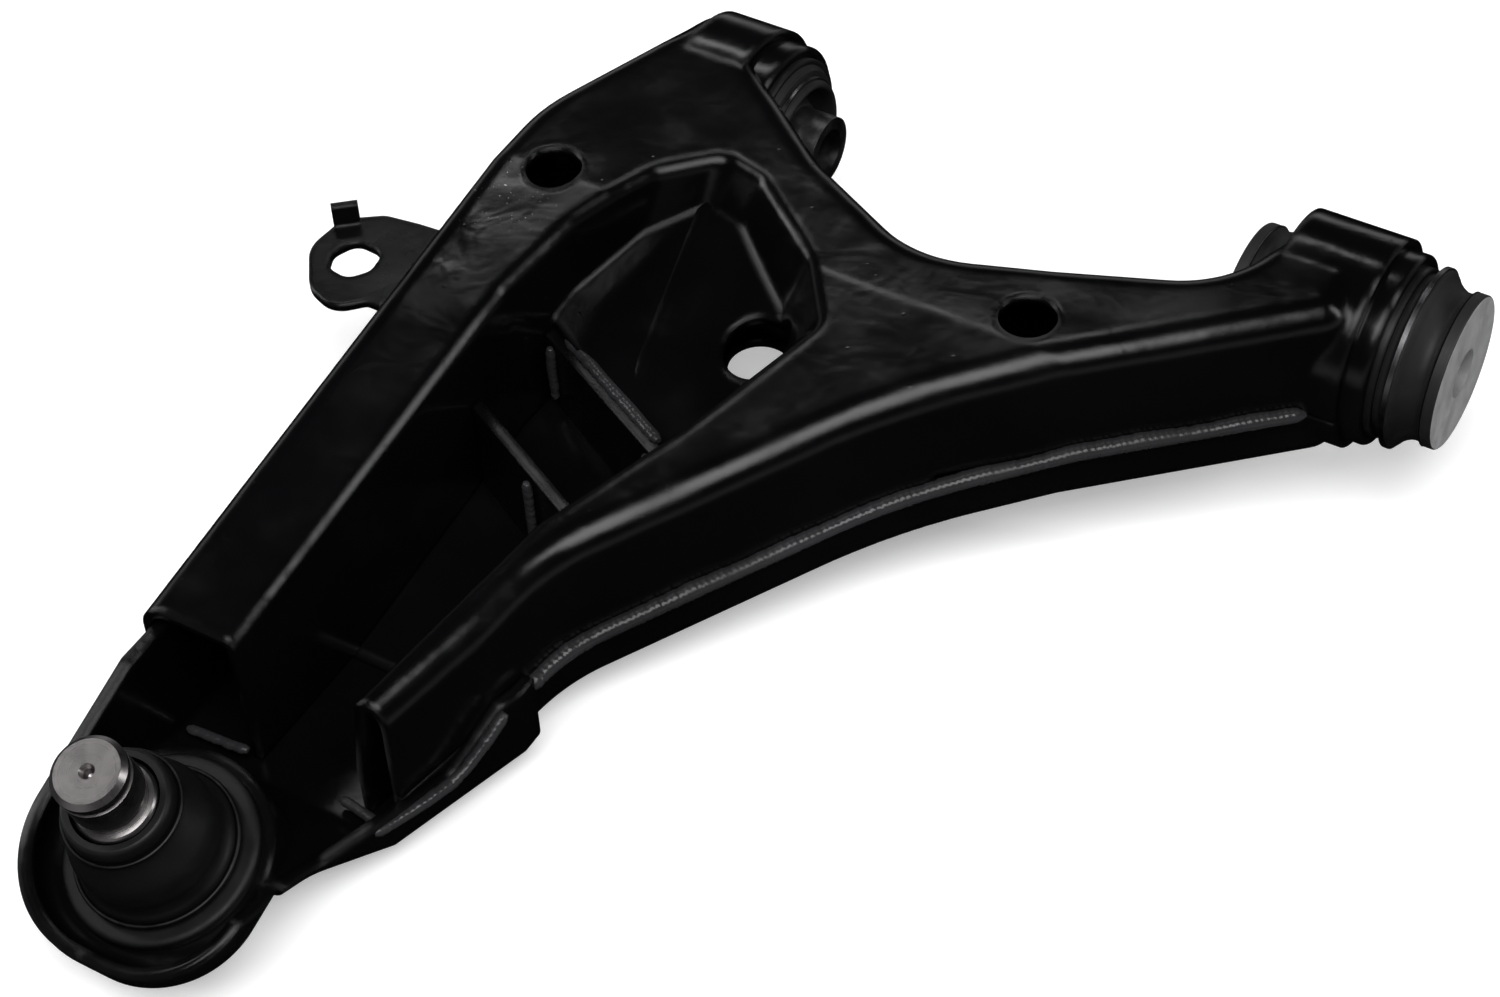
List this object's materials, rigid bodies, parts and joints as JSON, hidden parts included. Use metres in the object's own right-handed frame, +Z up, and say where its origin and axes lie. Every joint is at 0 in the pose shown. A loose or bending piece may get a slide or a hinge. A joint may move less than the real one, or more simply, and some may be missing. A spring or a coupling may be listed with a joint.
{
  "type": "suspension control arm",
  "caption": "Welded stamped lower control arm with front and rear rubber pivot bushings, a damper pocket, a side link bracket and a booted ball joint stud.",
  "frame": {"origin": "centre of the front pivot bushing's bolt bore", "axes": "+X along the pivot axis from the rear bushing to the front one, +Y inboard, away from the ball joint, +Z up, the side the ball stud points to"},
  "size_m": [0.3933, 0.4641, 0.1056],
  "materials": {
    "arm_coat": "gloss black dip coat over steel sheet",
    "weld_coat": "rippled weld under black coat",
    "bushing_steel": "turned steel, satin",
    "plated_steel": "bright plated steel",
    "bushing_rubber": "moulded black rubber, satin",
    "boot_rubber": "moulded black rubber, soft sheen",
    "housing_coat": "black coated forging",
    "seat_plastic": "natural low-friction plastic",
    "stud_steel": "machined steel with faint turning rings",
    "ring_steel": "spring steel"
  },
  "bodies": {
    "control_arm": {"upper_shell": "arm_coat", "lower_shell": "arm_coat", "ball_joint_carrier": "arm_coat", "damper_plate_inner": "arm_coat", "damper_plate_outer": "arm_coat", "link_bracket": "arm_coat", "front_bushing_barrel": "arm_coat", "rear_bushing_barrel": "arm_coat", "seam_weld_front": "weld_coat", "seam_weld_rear": "weld_coat", "damper_plate_weld": "weld_coat", "front_bushing_outer_sleeve": "bushing_steel", "rear_bushing_outer_sleeve": "bushing_steel", "front_bushing_side_rings": "plated_steel", "rear_bushing_side_rings": "plated_steel", "front_bushing_rubber": "bushing_rubber", "rear_bushing_rubber": "bushing_rubber", "ball_joint_housing": "housing_coat", "ball_joint_cover": "housing_coat", "ball_seat": "seat_plastic", "preload_washer": "bushing_steel", "boot_lower_ring": "ring_steel"},
    "front_bushing_core": {"front_bushing_inner_sleeve": "bushing_steel", "front_bushing_front_disc": "plated_steel", "front_bushing_rear_disc": "plated_steel"},
    "rear_bushing_core": {"rear_bushing_inner_sleeve": "bushing_steel"},
    "boot_skirt": {"boot": "boot_rubber"},
    "boot_collar": {"boot_upper_ring": "ring_steel"},
    "stud": {"ball_stud": "stud_steel"}
  },
  "joints": [
    {"name": "front_pivot", "type": "hinge", "parent": "control_arm", "child": "front_bushing_core", "pos_m": [0, 0, 0], "axis": [1, 0, 0], "range_deg": [-20, 20], "stiffness_Nm_per_rad": 20},
    {"name": "rear_pivot", "type": "hinge", "parent": "control_arm", "child": "rear_bushing_core", "pos_m": [-0.254, 0, 0], "axis": [1, 0, 0], "range_deg": [-20, 20]},
    {"name": "stud_tilt_fore_aft", "type": "hinge", "parent": "control_arm", "child": "boot_skirt", "pos_m": [-0.254, -0.37598, -0.03936], "axis": [1, 0, 0], "range_deg": [-20, 20], "deforming": ["boot"]},
    {"name": "stud_tilt_sideways", "type": "hinge", "parent": "boot_skirt", "child": "boot_collar", "pos_m": [-0.254, -0.37598, -0.03936], "axis": [0, 1, 0], "range_deg": [-20, 20], "deforming": ["boot"]},
    {"name": "stud_spin", "type": "hinge", "parent": "boot_collar", "child": "stud", "pos_m": [-0.254, -0.37598, -0.03936], "axis": [0, -0.309, 0.9511], "continuous": true}
  ],
  "couplings": [
    {"joint": "rear_pivot", "follows": "front_pivot", "ratio": 1}
  ]
}
